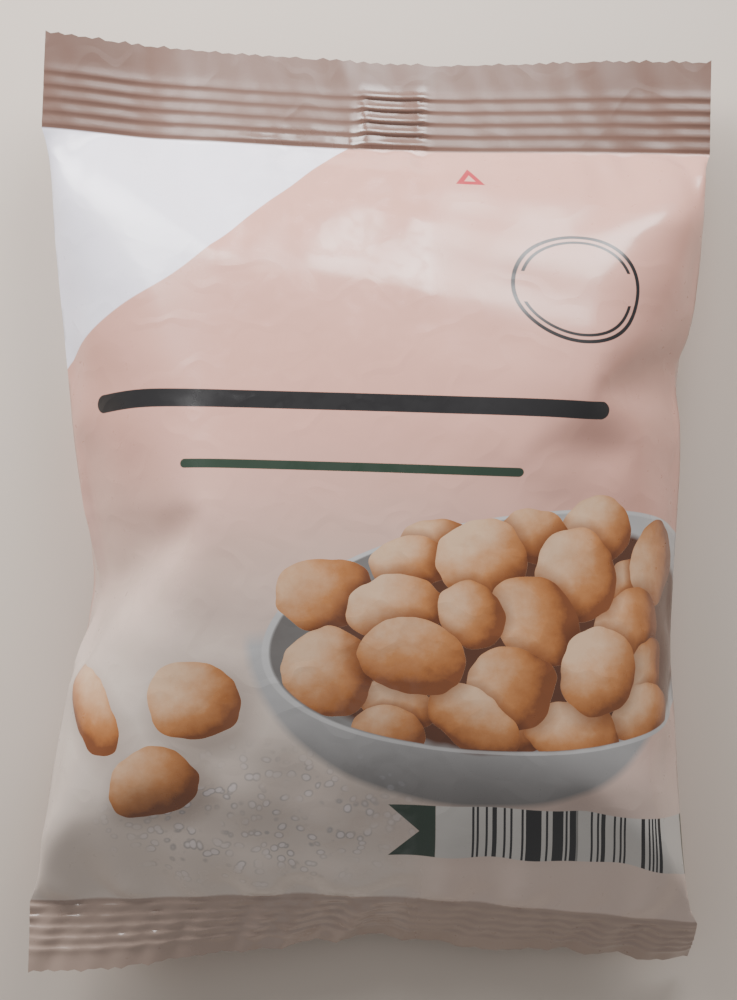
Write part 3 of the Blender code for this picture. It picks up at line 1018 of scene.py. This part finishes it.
def kernel_tree(material):
    """Points in, kernels out: one lumpy, slightly flattened kernel at each point."""
    tree = bpy.data.node_groups.new("kernels", "GeometryNodeTree")
    face = tree.interface
    face.new_socket("Geometry", in_out="INPUT", socket_type="NodeSocketGeometry")
    for name, value in KERNEL_INPUTS:
        socket = face.new_socket(name, in_out="INPUT", socket_type="NodeSocketFloat")
        socket.default_value = value
    face.new_socket("Geometry", in_out="OUTPUT", socket_type="NodeSocketGeometry")

    def add(kind, settings=(), **values):
        node = tree.nodes.new(kind)
        for name, value in dict(settings).items():
            setattr(node, name, value)
        for name, value in values.items():
            socket = node.inputs[name.replace("_", " ")]
            if isinstance(value, bpy.types.NodeSocket):
                tree.links.new(value, socket)
            else:
                socket.default_value = value
        return node

    given = add("NodeGroupInput").outputs
    radius = add("GeometryNodeInputNamedAttribute", Name="kernel_radius").outputs[0]
    points = add("GeometryNodeMeshToPoints", Mesh=given["Geometry"])
    ball = add("GeometryNodeMeshIcoSphere", Radius=1.0, Subdivisions=4)
    turn = add("FunctionNodeRandomValue", {"data_type": "FLOAT_VECTOR"}, Seed=7)
    turn.inputs[1].default_value = (2 * math.pi,) * 3
    flat = add("ShaderNodeCombineXYZ", X=1.0, Y=1.0, Z=given["Flattening"])
    size = add("ShaderNodeVectorMath", {"operation": "SCALE"}, Scale=radius)
    tree.links.new(flat.outputs[0], size.inputs[0])
    copies = add("GeometryNodeInstanceOnPoints", Points=points.outputs[0], Instance=ball.outputs[0],
                 Rotation=turn.outputs[0], Scale=size.outputs[0])
    whole = add("GeometryNodeRealizeInstances", Geometry=copies.outputs[0])
    noise = add("ShaderNodeTexNoise", Scale=given["Lump size"], Detail=1.0)
    middle = add("ShaderNodeMath", {"operation": "SUBTRACT"})
    tree.links.new(noise.outputs[0], middle.inputs[0])
    middle.inputs[1].default_value = 0.5
    height = add("ShaderNodeMath", {"operation": "MULTIPLY"})
    tree.links.new(middle.outputs[0], height.inputs[0])
    tree.links.new(given["Lump height"], height.inputs[1])
    lift = add("ShaderNodeVectorMath", {"operation": "SCALE"}, Scale=height.outputs[0])
    tree.links.new(add("GeometryNodeInputNormal").outputs[0], lift.inputs[0])
    lumpy = add("GeometryNodeSetPosition", Geometry=whole.outputs[0], Offset=lift.outputs[0])
    smoothed = add("GeometryNodeSetShadeSmooth", Geometry=lumpy.outputs[0])
    done = add("GeometryNodeSetMaterial", Geometry=smoothed.outputs[0], Material=material)
    add("NodeGroupOutput", Geometry=done.outputs[0])
    return tree


def roasted():
    """A roasted, salted kernel: cream to brown, dull, with a dusting of fine salt."""
    paint = Paint("roasted_kernel")
    place = paint.add("TexCoord", {}, {}, 3)
    tone = paint.noise(place, 0.007, 3, 0.55)
    colour = paint.add("ValToRGB", {"stops": CREAM_TO_BROWN}, {0: tone})
    grains = paint.add("TexVoronoi", {"feature": "F1"}, {"Vector": place, "Scale": 1400.0})
    salt = grains.under(0.16, 0.06) * paint.noise(place, 0.004, 2).over(0.5, 0.1)
    paint.put(paint.shader.inputs["Base Color"], paint.blend(salt, colour, SALT))
    paint.put(paint.shader.inputs["Roughness"], 0.58 - salt * 0.2)
    rough = paint.noise(place, 0.0012, 4, 0.65)
    paint.put(paint.shader.inputs["Normal"], paint.bump(rough, 0.4, 0.0003))
    return paint.material


def build_kernels(film, names):
    """All the kernels as one mesh, each at the place of its CAD node."""
    centres, radii = kernels_within(film, names)
    mesh = bpy.data.meshes.new("kernel_points")
    mesh.from_pydata([tuple(centre) for centre in centres], [], [])
    sizes = mesh.attributes.new("kernel_radius", "FLOAT", "POINT")
    sizes.data.foreach_set("value", radii)
    points = bpy.data.objects.new("kernel_points", mesh)
    bpy.context.scene.collection.objects.link(points)
    points.modifiers.new("kernels", "NODES").node_group = kernel_tree(roasted())
    depsgraph = bpy.context.evaluated_depsgraph_get()
    final = bpy.data.meshes.new_from_object(points.evaluated_get(depsgraph), depsgraph=depsgraph)
    final.name = "kernels"
    bpy.data.objects.remove(points, do_unlink=True)
    kernels = bpy.data.objects.new("kernels", final)
    bpy.context.scene.collection.objects.link(kernels)
    return kernels


front, back = inflate()
film = build_film(front, back)
kernel_names = sorted(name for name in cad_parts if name.startswith("kernel_"))
kernels = build_kernels(film, kernel_names)
thicken(film)
film.data.materials.append(printed_film())

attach(film, "root")
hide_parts("film_bag")
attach(kernels, "root")
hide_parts(*kernel_names)


# ------------ floor, light and camera


FLOOR_REACH = 1.2
FLOOR_COLOUR = (0.61, 0.53, 0.46, 1)


def add_stage():
    """A plain pale floor that the bag lies on."""
    far = FLOOR_REACH
    mesh = bpy.data.meshes.new("floor")
    mesh.from_pydata([(-far, -far, 0), (far, -far, 0), (far, far, 0), (-far, far, 0)], [],
                     [(0, 1, 2, 3)])
    floor = bpy.data.objects.new("floor", mesh)
    bpy.context.scene.collection.objects.link(floor)
    material = bpy.data.materials.new("floor")
    material.use_nodes = True
    shader = material.node_tree.nodes["Principled BSDF"]
    shader.inputs["Base Color"].default_value = FLOOR_COLOUR
    shader.inputs["Roughness"].default_value = 0.8
    mesh.materials.append(material)


BELLY = (-0.02, 0.06, 0.02)
LAMP_RISE = 28
LAMP_AWAY = 0.35
LAMP_SPREAD = 80
# the two windows: degrees right of the bag's top end, width and height, and power
WINDOWS = (("window", -35, (0.24, 0.18), 0.50), ("window_right", 15, (0.22, 0.18), 0.36))
ROOM_LIGHT = 0.41
CAMERA_PLACE = (-0.00143, 0, 0.414)
CAMERA_TURN = 1.9
CAMERA_LENS = 80.8


def lamp_place(turn):
    """A lamp's place round the bag."""
    turn, rise = math.radians(turn), math.radians(LAMP_RISE)
    level = LAMP_AWAY * math.cos(rise)
    return (level * math.sin(turn), level * math.cos(turn), LAMP_AWAY * math.sin(rise))


def add_window(name, turn, size, power):
    """A soft window light that shines on the belly."""
    lamp = bpy.data.lights.new(name, "AREA")
    lamp.shape = "RECTANGLE"
    lamp.size, lamp.size_y = size
    lamp.energy = power
    lamp.spread = math.radians(LAMP_SPREAD)
    place = Vector(lamp_place(turn))
    light = bpy.data.objects.new(name, lamp)
    light.location = place
    light.rotation_euler = (Vector(BELLY) - place).to_track_quat("-Z", "Y").to_euler()
    bpy.context.scene.collection.objects.link(light)


def add_room_light():
    """Even white light from all round."""
    world = bpy.data.worlds.new("studio")
    world.use_nodes = True
    background = world.node_tree.nodes["Background"]
    background.inputs["Color"].default_value = (1, 1, 1, 1)
    background.inputs["Strength"].default_value = ROOM_LIGHT
    bpy.context.scene.world = world


def add_camera():
    """A camera straight above the bag, turned a little."""
    lens = bpy.data.cameras.new("camera")
    lens.sensor_width = 36
    lens.lens = CAMERA_LENS
    lens.clip_start = 0.01
    camera = bpy.data.objects.new("camera", lens)
    camera.location = CAMERA_PLACE
    camera.rotation_euler = (0, 0, math.radians(CAMERA_TURN))
    bpy.context.scene.collection.objects.link(camera)
    bpy.context.scene.camera = camera


add_stage()
for window in WINDOWS:
    add_window(*window)
add_room_light()
add_camera()
